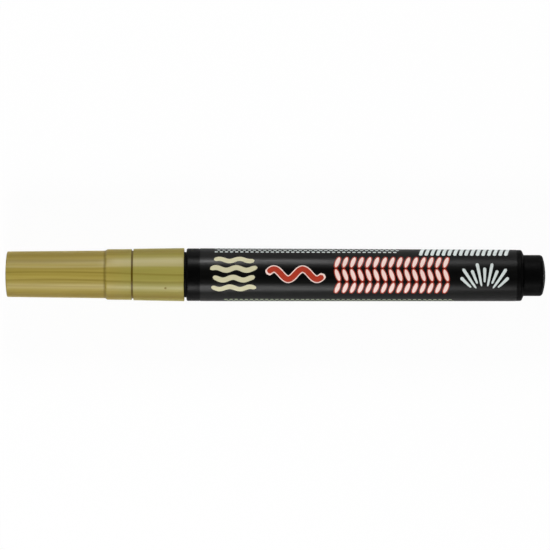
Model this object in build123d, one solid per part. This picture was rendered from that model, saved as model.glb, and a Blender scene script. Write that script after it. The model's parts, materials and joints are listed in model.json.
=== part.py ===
from build123d import *
from math import cos, pi, sin, sqrt
import os

# A capped liquid chalk marker lying on its side. X runs along its axis, from the cap's closed end to the tail,
# and the marker rests on Z = 0 with its middle at X = 0. Until they are placed, the pieces are turned about
# X with station 0 at the barrel's front shoulder. All sizes are in millimetres.

# Fits
push_fit = 0.02             # radial gap of a piece that is pushed home and stays there
sliding_fit = 0.05          # radial gap of a piece that slides in another
touch_gap = 0.05            # gap between two seats that meet when the marker is at rest
round_share = 0.9           # most of a step or wall that a round at its edge may take

# Cap, outside
cap_gap = 0.6               # open gap between the cap's mouth and the barrel's shoulder
mouth_step = 0.08           # how far the cap's mouth stands proud of the barrel's collar
mouth_round = 0.15
skirt_draft = 0.21          # how much smaller the skirt is at its front end
skirt_lead = 1.29           # from the seat inside the cap to the skirt's front end
groove_width = 0.48
groove_depth = 0.38
ring_length = 6.76
ring_step = 0.08            # from the skirt's front end down to the ring
ring_draft = 0.053
ring_slope = 0.55           # length of the ring's sloping front
ring_rear_round = 0.12
ring_front_round = 0.32
upper_length = 25.52        # plain part ahead of the ring, closed end included
upper_step = 0.362          # from the ring down to the plain part
upper_draft = 0.265
cap_crown_rise = 0.43
cap_end_round = 0.35

# Cap, inside
cap_wall = 0.86             # wall of the plain part at the closed end
cap_end_wall = 1.02
skirt_wall = 0.64           # wall of the skirt at its front end
liner_wall = 0.60
liner_end_wall = 0.80
liner_grip = 3.85           # how far the liner reaches over the front section's nose
liner_lead_in = 0.25

# Barrel
barrel_length = 84.3        # shoulder to the tail plug's flange
collar_length = 3.5         # bare, straight stretch ahead of the label
collar_radius = 6.72
barrel_draft = 0.19         # how much smaller the barrel is at its rear end
shoulder_round = 0.40
neck_length = 11.0
neck_wall = 0.90
neck_edge_chamfer = 0.30
bead_height = 0.10          # raised ring on the neck that the cap grips
bead_width = 1.2
bead_setback = 4.0          # from the neck's front end to the bead's middle
chamber_wall = 1.18         # wall of the ink chamber at the barrel's rear end
chamber_front = 1.0         # station where the neck's bore starts to open into the chamber
chamber_flare = 0.6

# Label
film_thickness = 0.05
adhesive_gap = 0.02
label_rear_margin = 0.15    # bare barrel between the label and the tail plug

# Tail plug
flange_length = 1.82
flange_slope = 0.57         # length of the sloping shoulder at the flange's rear
flange_round = 0.55
stub_step = 1.28            # from the flange down to the stub
stub_length = 5.58          # crown included
stub_crown_rise = 0.86
stub_end_round = 0.90
stub_wall = 1.25
stub_end_wall = 1.2
plug_skirt_length = 5.5
plug_skirt_wall = 1.1

# Front section
foot_thickness = 1.2        # disc that seats on the neck's front end
foot_edge_step = 0.10       # how far the disc stands inside the neck's outside
flare_length = 4.0
flare_rise = 0.90
flare_room = 0.30           # radial room for the flare inside the cap
ring_bore_length = 6.4      # wide bore of the cap ahead of the foot
tube_length = 10.5          # straight part ahead of the flare
tube_wall = 1.70            # wall round the nib's chamber
nose_round = 0.50
insert_length = 9.0         # hollow stem pushed into the neck
insert_wall = 0.98

# Ferrule and nib
nib_radius = 0.95
nib_protrusion = 1.8
nib_point_length = 1.1
nib_point_flat = 0.25
ferrule_tube_wall = 0.25
ferrule_tube_length = 4.6
ferrule_cone_length = 2.3
ferrule_cone_step = 0.25    # how far the cone stands proud of the shank
ferrule_shank_wall = 1.0
ferrule_shank_length = 5.0
ferrule_lip_round = 0.12

# Valve
valve_body_length = 8.5
valve_body_wall = 0.88
valve_front_wall = 1.6
seat_depth = 1.0            # axial depth of the conical seat
seat_share = 0.5            # share of the wall round the seat's hole that the cone takes
ink_gap = 0.5               # ring gap for ink around the plunger's push stem
push_stem_radius = 0.9
push_stem_length = 2.5      # ahead of the valve body's front face
cone_lead = 0.2             # shorter radius at the start of the plunger's cone
flow_gap = 0.4              # ring gap for ink around the plunger's flange
plunger_flange_thickness = 0.8
guide_stem_radius = 1.0
guide_stem_tail = 0.6       # how far the stem stands out behind the retainer
retainer_thickness = 1.0
port_count = 4
port_share = 0.44           # share of the retainer's ring that a port takes
spring_wire_radius = 0.20
spring_turns = 4
spring_arcs_per_turn = 4
gap_samples_per_turn = 100  # points on the wire where the gap between turns is measured

# Mixing ball
ball_radius = 3.0
ball_gap = 0.10             # gap under the ball in the chamber
ball_station = 40.0

# Stations along the axis
neck_front = -neck_length
foot_front = neck_front - foot_thickness
flare_front = foot_front - flare_length
nose = flare_front - tube_length
cap_mouth = -cap_gap
cap_stop = foot_front - touch_gap
skirt_front = cap_stop - skirt_lead
ring_rear = skirt_front - groove_width
ring_front = ring_rear - ring_length
ring_bore_front = cap_stop - ring_bore_length
cap_end = ring_front - upper_length
cap_inside_end = cap_end + cap_crown_rise + cap_end_wall
liner_mouth = nose + liner_grip
ferrule_cone_front = nose - ferrule_cone_length
ferrule_front = ferrule_cone_front - ferrule_tube_length
nib_tip = ferrule_front - nib_protrusion
insert_rear = neck_front + insert_length
valve_front = insert_rear - valve_body_length
nib_rear = valve_front - push_stem_length
seat_rear = valve_front + valve_front_wall
seat_front = seat_rear - seat_depth
plunger_flange_front = seat_rear + touch_gap
plunger_flange_rear = plunger_flange_front + plunger_flange_thickness
retainer_front = insert_rear - retainer_thickness
stub_start = barrel_length + flange_length
tail_end = stub_start + stub_length
label_rear = barrel_length - label_rear_margin

# Outside radii, in steps from the collar's
skirt_mouth_radius = collar_radius + mouth_step
skirt_front_radius = skirt_mouth_radius - skirt_draft
ring_rear_radius = skirt_front_radius - ring_step
ring_front_radius = ring_rear_radius - ring_draft
upper_rear_radius = ring_front_radius - upper_step
cap_end_radius = upper_rear_radius - upper_draft
barrel_rear_radius = collar_radius - barrel_draft
stub_radius = barrel_rear_radius - stub_step

# Radii that follow from the fits and walls
skirt_bore = skirt_front_radius - skirt_wall
neck_radius = skirt_bore - sliding_fit - bead_height
neck_bore = neck_radius - neck_wall
chamber_radius = barrel_rear_radius - chamber_wall
upper_bore = cap_end_radius - cap_wall
liner_radius = upper_bore - push_fit
liner_bore = liner_radius - liner_wall
tube_radius = liner_bore - sliding_fit
nib_chamber_radius = tube_radius - tube_wall
flare_radius = tube_radius + flare_rise
ring_bore = flare_radius + flare_room
foot_radius = neck_radius - foot_edge_step
insert_radius = neck_bore - push_fit
pocket_radius = insert_radius - insert_wall
nib_bore = nib_radius + sliding_fit
ferrule_tube_radius = nib_bore + ferrule_tube_wall
ferrule_shank_radius = nib_bore + ferrule_shank_wall
ferrule_cone_radius = ferrule_shank_radius + ferrule_cone_step
shank_bore = ferrule_shank_radius + push_fit
valve_radius = pocket_radius - push_fit
valve_bore = valve_radius - valve_body_wall
seat_hole = push_stem_radius + ink_gap
seat_rise = seat_share * (valve_bore - seat_hole)
seat_mouth = seat_hole + seat_rise
plunger_flange_radius = valve_bore - flow_gap
guide_hole = guide_stem_radius + sliding_fit
retainer_radius = valve_bore - push_fit
port_circle = (guide_hole + retainer_radius) / 2
port_radius = port_share * (retainer_radius - guide_hole) / 2
spring_mean_radius = (guide_stem_radius + plunger_flange_radius) / 2
plug_skirt_radius = chamber_radius - push_fit

# Places of the whole marker
axis_height = max(skirt_mouth_radius, collar_radius + adhesive_gap + film_thickness)
mid_length = (cap_end + tail_end) / 2


def turned(*curves, rounds=()):
    """Solid turned about the axis from a closed outline of curves in (station, radius).

    Each entry of rounds is a corner of the outline and the radius that it is rounded to.
    """
    profile = Sketch() + make_face([edge for curve in curves for edge in curve.edges()])
    for corner, radius in rounds:
        nearest = profile.vertices().sort_by_distance((*corner, 0))[0]
        profile = fillet(nearest, radius)
    return revolve(profile, Axis.X)


def turned_corners(*corners, rounds=()):
    """Solid turned about the axis from the corners of a closed outline."""
    return turned(Polyline(*corners, close=True), rounds=rounds)


def make_cap_shell():
    """Stepped cap: a domed end, a ring with a sloping front, a groove and three bores that narrow inwards."""
    groove_radius = ring_rear_radius - groove_depth
    crown_rim = (cap_end + cap_crown_rise, cap_end_radius)
    ring_front_corner = (ring_front + ring_slope, ring_front_radius)
    ring_rear_corner = (ring_rear, ring_rear_radius)
    mouth_corner = (cap_mouth, skirt_mouth_radius)
    walls = Polyline(
        crown_rim,
        (ring_front, upper_rear_radius),
        ring_front_corner,
        ring_rear_corner,
        (ring_rear, groove_radius),
        (skirt_front, groove_radius),
        (skirt_front, skirt_front_radius),
        mouth_corner,
        (cap_mouth, skirt_bore),
        (cap_stop, skirt_bore),
        (cap_stop, ring_bore),
        (ring_bore_front, ring_bore),
        (ring_bore_front, upper_bore),
        (cap_inside_end, upper_bore),
        (cap_inside_end, 0),
        (cap_end, 0),
    )
    return turned(
        walls,
        TangentArc((cap_end, 0), crown_rim, tangent=(0, 1)),
        rounds=[
            (crown_rim, cap_end_round),
            (ring_front_corner, min(ring_front_round, round_share * upper_step)),
            (ring_rear_corner, min(ring_rear_round, round_share * groove_depth)),
            (mouth_corner, mouth_round),
        ],
    )


def make_cap_liner():
    """Thimble in the cap's closed end whose bore closes round the front section."""
    return turned_corners(
        (cap_inside_end, 0),
        (cap_inside_end, liner_radius),
        (liner_mouth, liner_radius),
        (liner_mouth, liner_bore + liner_lead_in),
        (liner_mouth - liner_lead_in, liner_bore),
        (cap_inside_end + liner_end_wall, liner_bore),
        (cap_inside_end + liner_end_wall, 0),
    )


def make_barrel():
    """Tube with a slight draft, a straight collar, and a beaded neck that the cap fits over."""
    bead_middle = neck_front + bead_setback
    bead_radius = neck_radius + bead_height
    shoulder_corner = (0, collar_radius)
    return turned_corners(
        (neck_front, neck_bore),
        (neck_front, neck_radius - neck_edge_chamfer),
        (neck_front + neck_edge_chamfer, neck_radius),
        (bead_middle - bead_width / 2, neck_radius),
        (bead_middle - bead_width / 4, bead_radius),
        (bead_middle + bead_width / 4, bead_radius),
        (bead_middle + bead_width / 2, neck_radius),
        (0, neck_radius),
        shoulder_corner,
        (collar_length, collar_radius),
        (barrel_length, barrel_rear_radius),
        (barrel_length, chamber_radius),
        (chamber_front + chamber_flare, chamber_radius),
        (chamber_front, neck_bore),
        rounds=[(shoulder_corner, shoulder_round)],
    )


def make_label():
    """Film wrapped round the barrel behind the collar, following the barrel's draft."""
    share = (label_rear - collar_length) / (barrel_length - collar_length)
    rear_radius = collar_radius + share * (barrel_rear_radius - collar_radius)
    outer = adhesive_gap + film_thickness
    return turned_corners(
        (collar_length, collar_radius + adhesive_gap),
        (collar_length, collar_radius + outer),
        (label_rear, rear_radius + outer),
        (label_rear, rear_radius + adhesive_gap),
    )


def make_tail_plug():
    """End plug with a skirt in the chamber, a sloping flange and a domed stub, hollow from the front."""
    skirt_rim = barrel_length - plug_skirt_length
    skirt_hollow = plug_skirt_radius - plug_skirt_wall
    stub_hollow = stub_radius - stub_wall
    flange_corner = (stub_start - flange_slope, barrel_rear_radius)
    crown_rim = (tail_end - stub_crown_rise, stub_radius)
    walls = Polyline(
        crown_rim,
        (stub_start, stub_radius),
        flange_corner,
        (barrel_length, barrel_rear_radius),
        (barrel_length, plug_skirt_radius),
        (skirt_rim, plug_skirt_radius),
        (skirt_rim, skirt_hollow),
        (barrel_length, skirt_hollow),
        (barrel_length + flange_length, stub_hollow),
        (tail_end - stub_crown_rise - stub_end_wall, stub_hollow),
        (tail_end - stub_crown_rise - stub_end_wall, 0),
        (tail_end, 0),
    )
    return turned(
        walls,
        TangentArc((tail_end, 0), crown_rim, tangent=(0, 1)),
        rounds=[(crown_rim, stub_end_round), (flange_corner, flange_round)],
    )


def make_front_section():
    """Tip holder: a stem in the neck, a foot on the neck's end, a flare and a straight tube."""
    nose_corner = (nose, tube_radius)
    flare_start = (flare_front, tube_radius)
    flare_end = (foot_front, flare_radius)
    shank_end = nose + ferrule_shank_length
    walls = Polyline(
        flare_end,
        (foot_front, foot_radius),
        (neck_front, foot_radius),
        (neck_front, insert_radius),
        (insert_rear, insert_radius),
        (insert_rear, pocket_radius),
        (valve_front, pocket_radius),
        (valve_front, nib_chamber_radius),
        (shank_end, nib_chamber_radius),
        (shank_end, shank_bore),
        (nose, shank_bore),
        nose_corner,
        flare_start,
    )
    flare = TangentArc(flare_start, flare_end, tangent=(1, 0))
    return turned(walls, flare, rounds=[(nose_corner, nose_round)])


def make_ferrule():
    """Metal cone and thin tube on the nose, with a shank inside it and the nib's bore right through."""
    lip_corner = (ferrule_front, ferrule_tube_radius)
    return turned_corners(
        (ferrule_front, nib_bore),
        lip_corner,
        (ferrule_cone_front, ferrule_tube_radius),
        (nose, ferrule_cone_radius),
        (nose, ferrule_shank_radius),
        (nose + ferrule_shank_length, ferrule_shank_radius),
        (nose + ferrule_shank_length, nib_bore),
        rounds=[(lip_corner, min(ferrule_lip_round, round_share * ferrule_tube_wall))],
    )


def make_nib():
    """Fibre rod with a bullet point, long enough to meet the plunger's push stem."""
    point_rear = (nib_tip + nib_point_length, nib_radius)
    point_front = (nib_tip, nib_point_flat)
    rod = Polyline(point_front, (nib_tip, 0), (nib_rear, 0), (nib_rear, nib_radius), point_rear)
    return turned(rod, TangentArc(point_rear, point_front, tangent=(-1, 0)))


def make_valve_body():
    """Cup in the front section's stem, with a hole in its front wall that opens into a conical seat."""
    return turned_corners(
        (valve_front, seat_hole),
        (valve_front, valve_radius),
        (insert_rear, valve_radius),
        (insert_rear, valve_bore),
        (seat_rear, valve_bore),
        (seat_rear, seat_mouth),
        (seat_front, seat_hole),
    )


def make_valve_plunger():
    """Push stem, sealing cone, flange for the spring and guide stem, in one turned piece."""
    slope = seat_rise / seat_depth
    cone_start_radius = seat_hole - cone_lead
    cone_start = seat_front + touch_gap - cone_lead / slope
    return turned_corners(
        (nib_rear, 0),
        (nib_rear, push_stem_radius),
        (cone_start, push_stem_radius),
        (cone_start, cone_start_radius),
        (plunger_flange_front, seat_mouth),
        (plunger_flange_front, plunger_flange_radius),
        (plunger_flange_rear, plunger_flange_radius),
        (plunger_flange_rear, guide_stem_radius),
        (insert_rear + guide_stem_tail, guide_stem_radius),
        (insert_rear + guide_stem_tail, 0),
    )


def make_valve_retainer():
    """Disc that closes the valve body, with a guide hole and a circle of ink ports."""
    disc = turned_corners(
        (retainer_front, guide_hole),
        (retainer_front, retainer_radius),
        (insert_rear, retainer_radius),
        (insert_rear, guide_hole),
    )
    port = Cylinder(port_radius, 3 * retainer_thickness)
    front = Plane(origin=((retainer_front + insert_rear) / 2, 0, 0), z_dir=(1, 0, 0))
    for place in PolarLocations(port_circle, port_count):
        disc -= front * place * port
    return disc


def helix_point(angle, start, pitch):
    """Point of the spring's wire, and the wire's direction there, at an angle in radians."""
    rise = pitch / (2 * pi)
    point = Vector(start + rise * angle, spring_mean_radius * cos(angle), spring_mean_radius * sin(angle))
    direction = Vector(rise, -spring_mean_radius * sin(angle), spring_mean_radius * cos(angle))
    return point, direction.normalized()


def biarc(first, first_way, last, last_way):
    """Two tangent arcs from one point and direction to another.

    The arms d of the joint solve |last - first - d (first_way + last_way)| = 2 d.
    """
    span = last - first
    ways = first_way + last_way
    turn = 1 - first_way.dot(last_way)
    along = span.dot(ways)
    arm = (sqrt(along**2 + 2 * turn * span.dot(span)) - along) / (2 * turn)
    joint = (first + first_way * arm + last - last_way * arm) / 2
    joint_way = (last - last_way * arm) - (first + first_way * arm)
    return [
        TangentArc(first, joint, tangent=first_way),
        TangentArc(joint, last, tangent=joint_way),
    ]


def make_valve_spring():
    """Open helix of round wire between the plunger's flange and the retainer."""
    start = plunger_flange_rear + touch_gap + spring_wire_radius
    stop = retainer_front - touch_gap - spring_wire_radius
    pitch = (stop - start) / spring_turns
    arc_count = spring_turns * spring_arcs_per_turn
    stations = [helix_point(2 * pi * n / spring_arcs_per_turn, start, pitch) for n in range(arc_count + 1)]
    arcs = []
    for (first, first_way), (last, last_way) in zip(stations, stations[1:]):
        arcs += biarc(first, first_way, last, last_way)
    path = Wire([edge for arc in arcs for edge in arc.edges()])
    section = Plane(origin=stations[0][0], z_dir=stations[0][1]) * Circle(spring_wire_radius)
    samples = gap_samples_per_turn * spring_turns
    points = [path.position_at(n / samples) for n in range(samples + 1)]
    least = min(
        (points[b] - points[a]).length
        for a in range(samples + 1)
        for b in range(a + gap_samples_per_turn // 2, samples + 1)
    )
    print(f"valve spring: least gap between turns {least - 2 * spring_wire_radius:.3f} mm")
    return sweep(section, path=path)


def make_mixing_ball():
    """Ball lying at the bottom of the ink chamber."""
    drop = chamber_radius - ball_radius - ball_gap
    return Pos(ball_station, 0, -drop) * Sphere(ball_radius)


pieces = {
    "cap_shell": make_cap_shell(),
    "cap_liner": make_cap_liner(),
    "barrel": make_barrel(),
    "label": make_label(),
    "tail_plug": make_tail_plug(),
    "front_section": make_front_section(),
    "ferrule": make_ferrule(),
    "nib": make_nib(),
    "valve_body": make_valve_body(),
    "valve_plunger": make_valve_plunger(),
    "valve_spring": make_valve_spring(),
    "valve_retainer": make_valve_retainer(),
    "mixing_ball": make_mixing_ball(),
}

os.makedirs("parts", exist_ok=True)
for name, piece in pieces.items():
    export_step(Pos(-mid_length, 0, axis_height) * piece, f"parts/{name}.step")
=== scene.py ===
"""Looks of a capped liquid chalk marker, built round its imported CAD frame.

The marker lies along X on the floor at Z = 0, with its cap at -X. Sizes are in millimetres in the frame's
own place, and turn into metres where a mesh, a lamp or the camera is made. Where a piece starts and ends is
read from its CAD node.
"""
import json
import logging
from dataclasses import dataclass, field, replace
from enum import Enum
from math import cos, pi, radians, sin

import bpy
import numpy as np
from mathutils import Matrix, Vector


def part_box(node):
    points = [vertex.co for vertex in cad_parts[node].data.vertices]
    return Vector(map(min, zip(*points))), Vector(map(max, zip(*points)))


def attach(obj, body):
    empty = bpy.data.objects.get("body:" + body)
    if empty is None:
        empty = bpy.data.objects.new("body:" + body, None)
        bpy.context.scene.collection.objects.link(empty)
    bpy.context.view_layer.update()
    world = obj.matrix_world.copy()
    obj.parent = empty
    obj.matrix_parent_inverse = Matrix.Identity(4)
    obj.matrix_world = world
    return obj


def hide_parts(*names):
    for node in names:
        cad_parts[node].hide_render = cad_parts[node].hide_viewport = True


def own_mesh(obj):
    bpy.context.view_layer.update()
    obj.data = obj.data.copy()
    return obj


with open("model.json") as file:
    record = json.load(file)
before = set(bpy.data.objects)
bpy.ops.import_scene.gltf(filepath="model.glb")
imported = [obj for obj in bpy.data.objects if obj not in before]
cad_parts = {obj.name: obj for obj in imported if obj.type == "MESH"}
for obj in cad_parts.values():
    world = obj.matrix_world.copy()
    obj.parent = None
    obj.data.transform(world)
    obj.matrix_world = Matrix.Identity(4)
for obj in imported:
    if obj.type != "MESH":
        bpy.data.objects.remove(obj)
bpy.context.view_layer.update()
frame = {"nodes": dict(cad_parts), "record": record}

log = logging.getLogger("chalk_marker")

MM = 0.001
MOUNTS = {mount["name"]: mount for mount in frame["record"]["mounts"]}
AXIS = MOUNTS["barrel_collar"]["pos_m"][2] / MM     # height of the marker's axis over the floor
COLLAR = MOUNTS["barrel_collar"]["dims"]["r_mm"]    # radius of the bare collar ahead of the label
STUB = MOUNTS["tail_stub"]["dims"]["r_mm"]          # radius of the stub at the tail

SEGMENTS = 192          # facets round a turned piece
ARC_STEPS = 9           # points on each rounded corner of a profile
GUARD = 0.05            # how near to a round the points lie that keep the next side flat
GUARDED = 6             # shortest side that is kept flat in this way, in guards
TINY = 1e-9             # least length that is divided by
DOME_STEPS = 9          # corners of a domed end ahead of its rim
DOME_ROOM = 1.6         # length of a dome's last side, in rounds of its rim
SHARP = radians(35)     # edges that turn more than this stay sharp

NOISE_RANGE = (0.35, 0.65)                      # range that holds most of a noise
SMOOTH = {"interpolation_type": "SMOOTHSTEP"}   # setting of a Map Range node that eases in and out
COLOUR_A, COLOUR_B, COLOUR_MIXED = 6, 7, 2      # sockets of a Mix node that mixes colours

Corner = tuple[float, ...]              # station, radius and, where it isn't sharp, round
Pair = tuple[float, float]
Triple = tuple[float, float, float]
Socket = bpy.types.NodeSocket
Tree = bpy.types.NodeTree
Shares = list[tuple[Socket, str]]       # share and colour of each tone


class Body(str, Enum):
    """Bodies of the frame that new pieces ride on."""

    BARREL = "barrel"
    CAP = "cap"
    NIB = "nib"


class Slot(str, Enum):
    """Material slots of the record, one of which is named with each new piece."""

    GOLD = "gold_plastic"
    WHITE = "white_plastic"
    CREAM = "cream_plastic"
    BLACK = "black_plastic"
    LABEL = "label_film"
    PLATED = "plated_metal"
    FIBRE = "nib_fibre"
    SPRING = "spring_steel"


class Layer(Enum):
    """Bottom and top of a print layer over the barrel; both start inside the film."""

    UNDER = (0.036, 0.049)
    OVER = (0.036, 0.055)


class Kind(Enum):
    """Types of the nodes that make the materials and the sky."""

    BACKGROUND = "ShaderNodeBackground"
    BUMP = "ShaderNodeBump"
    COORDINATES = "ShaderNodeTexCoord"
    DIFFUSE = "ShaderNodeBsdfDiffuse"
    EMISSION = "ShaderNodeEmission"
    LIGHT_PATH = "ShaderNodeLightPath"
    MAPPING = "ShaderNodeMapping"
    MATERIAL = "ShaderNodeOutputMaterial"
    MATHS = "ShaderNodeMath"
    MIX = "ShaderNodeMix"
    MIX_SHADER = "ShaderNodeMixShader"
    NOISE = "ShaderNodeTexNoise"
    PRINCIPLED = "ShaderNodeBsdfPrincipled"
    RANGE = "ShaderNodeMapRange"
    SEPARATE = "ShaderNodeSeparateXYZ"
    VECTOR = "ShaderNodeVectorMath"
    WORLD = "ShaderNodeOutputWorld"


def ends(node: str) -> Pair:
    """Stations of a CAD node's front and rear end, in mm."""
    low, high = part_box(node)
    return low.x / MM, high.x / MM


def linear(colour: str) -> tuple[float, float, float, float]:
    """Turns an sRGB colour into a linear one.

    Args:
        colour: Hex value, such as "#ffffff".

    Returns:
        Linear red, green and blue, and an alpha of 1.
    """
    srgb = np.array([int(colour[i : i + 2], 16) for i in (1, 3, 5)]) / 255
    rgb = np.where(srgb <= 0.04045, srgb / 12.92, ((srgb + 0.055) / 1.055) ** 2.4)
    return (*rgb.tolist(), 1.0)


def add_node(tree: Tree, kind: Kind, inputs: dict | tuple = (), **settings: object) -> bpy.types.NodeOutputs:
    """Adds a node to a tree.

    Args:
        tree: Tree that takes the node.
        kind: Type of the node.
        inputs: Value, or output socket to link from, of each input, by name or number, or in their order.
        settings: Attributes of the node itself.

    Returns:
        The node's output sockets.
    """
    made = tree.nodes.new(kind.value)
    for name, value in settings.items():
        setattr(made, name, value)
    placed = inputs if isinstance(inputs, dict) else dict(enumerate(inputs))
    for key, value in placed.items():
        if isinstance(value, Socket):
            tree.links.new(value, made.inputs[key])
        else:
            made.inputs[key].default_value = value
    return made.outputs


# Surfaces


@dataclass
class Surface:
    """Closed surface."""

    vertices: np.ndarray        # points in metres, of shape (n, 3)
    faces: list[list[int]]      # point numbers of each face, in an order that turns it outwards

    @staticmethod
    def joined(parts: list["Surface"]) -> "Surface":
        """Puts several surfaces into one.

        Args:
            parts: The surfaces.

        Returns:
            One surface that holds them all.
        """
        starts = np.cumsum([0] + [len(part.vertices) for part in parts])
        faces = [[i + start for i in face] for part, start in zip(parts, starts) for face in part.faces]
        return Surface(np.concatenate([part.vertices for part in parts]), faces)

    def piece(self, name: str, body: Body, slot: Slot, finish: "Finish", *nodes: str) -> bpy.types.Object:
        """Makes the surface a piece of the marker.

        Args:
            name: Name of the new object.
            body: Body of the frame that it rides on.
            slot: Material slot of the record; not used.
            finish: What its surface is made of.
            nodes: CAD nodes that it stands for.

        Returns:
            The new object.
        """
        mesh = bpy.data.meshes.new(name)
        mesh.from_pydata(self.vertices.tolist(), [], self.faces)
        mesh.shade_smooth()
        mesh.set_sharp_from_angle(angle=SHARP)
        mesh.materials.append(finish.material())
        made = bpy.data.objects.new(name, mesh)
        bpy.context.scene.collection.objects.link(made)
        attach(made, body.value)
        if nodes:
            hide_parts(*nodes)
        log.info("%s: %d faces on %s", name, len(self.faces), body.value)
        return made


def outline(corners: list[Corner], closed: bool = False) -> np.ndarray:
    """Points of a profile whose corners are rounded.

    A corner of radius q, between unit directions a back and b ahead, is cut q / tan(h) away from it on both
    sides, where h is half the angle between a and b. Between the cuts the points lie on the circle of
    radius q that touches both sides there. Each side that is long enough gets a point one guard inside each
    end.

    Args:
        corners: Station, radius and round of each corner.
        closed: Whether the last corner leads back to the first.

    Returns:
        Stations and radii, of shape (n, 2).
    """
    points = np.array([corner[:2] for corner in corners], float)
    rounds = [corner[2] if len(corner) > 2 else 0.0 for corner in corners]
    share = np.linspace(0, 1, ARC_STEPS)[:, None]
    rows = []
    for number, (point, radius) in enumerate(zip(points, rounds)):
        if radius == 0 or (not closed and number in (0, len(points) - 1)):
            rows.append(point[None])
            continue
        back = points[number - 1] - point
        ahead = points[(number + 1) % len(points)] - point
        back /= np.linalg.norm(back)
        ahead /= np.linalg.norm(ahead)
        half = np.arccos(np.clip(back @ ahead, -1, 1)) / 2
        centre = point + (back + ahead) / np.linalg.norm(back + ahead) * radius / np.sin(half)
        first = point + back * radius / np.tan(half) - centre
        last = point + ahead * radius / np.tan(half) - centre
        sweep = pi - 2 * half
        arc = np.sin((1 - share) * sweep) * first + np.sin(share * sweep) * last
        rows.append(centre + arc / np.sin(sweep))
    line = np.concatenate(rows)
    after = np.roll(line, -1, axis=0)
    length = np.linalg.norm(after - line, axis=1)
    step = (after - line) / np.maximum(length, TINY)[:, None] * GUARD
    long = length > GUARDED * GUARD
    long[-1] &= closed
    guarded = np.stack([line, line + step, after - step], axis=1)
    return guarded[np.stack([np.ones_like(long), long, long], axis=1)]


def crown(rim: float, rise: float, end: float, edge: float) -> list[Corner]:
    """Corners of a domed end, from the axis to its rim.

    The dome is a sphere of radius (rim^2 + rise^2) / (2 rise). Its last side is left long enough for the
    rim's round.

    Args:
        rim: Radius of the rim.
        rise: Height of the dome over its rim; negative where the dome points to +X.
        end: Station of the dome's top.
        edge: Round of the rim.

    Returns:
        Corners as outline takes them.
    """
    sphere = (rim**2 + rise**2) / (2 * abs(rise))
    radii = np.linspace(0, rim - DOME_ROOM * edge, DOME_STEPS)
    stations = end + np.sign(rise) * (sphere - np.sqrt(sphere**2 - radii**2))
    return [*zip(stations.tolist(), radii.tolist()), (end + rise, rim, edge)]


def quads(rows: int, columns: int, wrap_rows: bool = False, wrap_columns: bool = False) -> np.ndarray:
    """Faces between neighbouring points of a grid that is numbered row by row.

    Args:
        rows: Number of rows.
        columns: Number of columns.
        wrap_rows: Whether the last row leads back to the first.
        wrap_columns: Whether the last column leads back to the first.

    Returns:
        Point numbers of each face, of shape (n, 4).
    """
    row = np.arange(rows if wrap_rows else rows - 1)[:, None]
    column = np.arange(columns if wrap_columns else columns - 1)[None, :]
    next_row, next_column = (row + 1) % rows, (column + 1) % columns
    corners = [(row, column), (next_row, column), (next_row, next_column), (row, next_column)]
    return np.stack([a * columns + b for a, b in corners], axis=-1).reshape(-1, 4)


def capped(grid: np.ndarray, poles: np.ndarray) -> Surface:
    """Closed surface of a grid whose rows are rings, with a fan of triangles from a pole at each end.

    Args:
        grid: Points in mm, of shape (rows, columns, 3).
        poles: The two poles in mm, of shape (2, 3).

    Returns:
        The closed surface.
    """
    rows, columns = grid.shape[:2]
    around = np.arange(columns)
    beside = (around + 1) % columns
    pole = np.full_like(around, rows * columns)
    final = (rows - 1) * columns
    first = np.stack([pole, around, beside], axis=-1)
    last = np.stack([final + around, pole + 1, final + beside], axis=-1)
    sides = quads(rows, columns, wrap_columns=True)
    points = np.concatenate([grid.reshape(-1, 3), poles])
    return Surface(points * MM, sides.tolist() + first.tolist() + last.tolist())


def turned(corners: list[Corner], closed: bool = False) -> Surface:
    """Surface of a profile carried round the marker's axis.

    Point (x, r) goes to (x, r sin a, AXIS + r cos a) at each angle a. The outside runs towards +X.

    Args:
        corners: Corners of the profile, as outline takes them.
        closed: Whether the profile is closed on itself; otherwise it starts and ends on the axis.

    Returns:
        The closed surface.
    """
    profile = outline(corners, closed)
    angle = np.linspace(0, 2 * pi, SEGMENTS, endpoint=False)
    x, r = profile[:, :1], profile[:, 1:]
    grid = np.stack([x + 0 * angle, r * np.sin(angle), AXIS + r * np.cos(angle)], axis=-1)
    if not closed:
        return capped(grid[1:-1], grid[[0, -1], 0])
    faces = quads(len(profile), SEGMENTS, wrap_rows=True, wrap_columns=True)
    return Surface(grid.reshape(-1, 3) * MM, faces.tolist())


def slab(top: np.ndarray, bottom: np.ndarray) -> Surface:
    """Closed sheet between two grids, with walls along their four edges.

    Args:
        top: Points of the outer face in mm, of shape (rows, columns, 3).
        bottom: Points of the inner face, of the same shape.

    Returns:
        The closed surface.
    """
    rows, columns = top.shape[:2]
    upper = quads(rows, columns)
    number = np.arange(rows * columns).reshape(rows, columns)
    rim = np.concatenate([number[:-1, 0], number[-1, :-1], number[:0:-1, -1], number[0, :0:-1]])
    beside = np.roll(rim, -1)
    count = rows * columns
    walls = np.stack([rim, rim + count, beside + count, beside], axis=-1)
    faces = np.concatenate([upper, upper[:, ::-1] + count, walls])
    points = np.concatenate([top.reshape(-1, 3), bottom.reshape(-1, 3)])
    return Surface(points * MM, faces.tolist())


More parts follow.
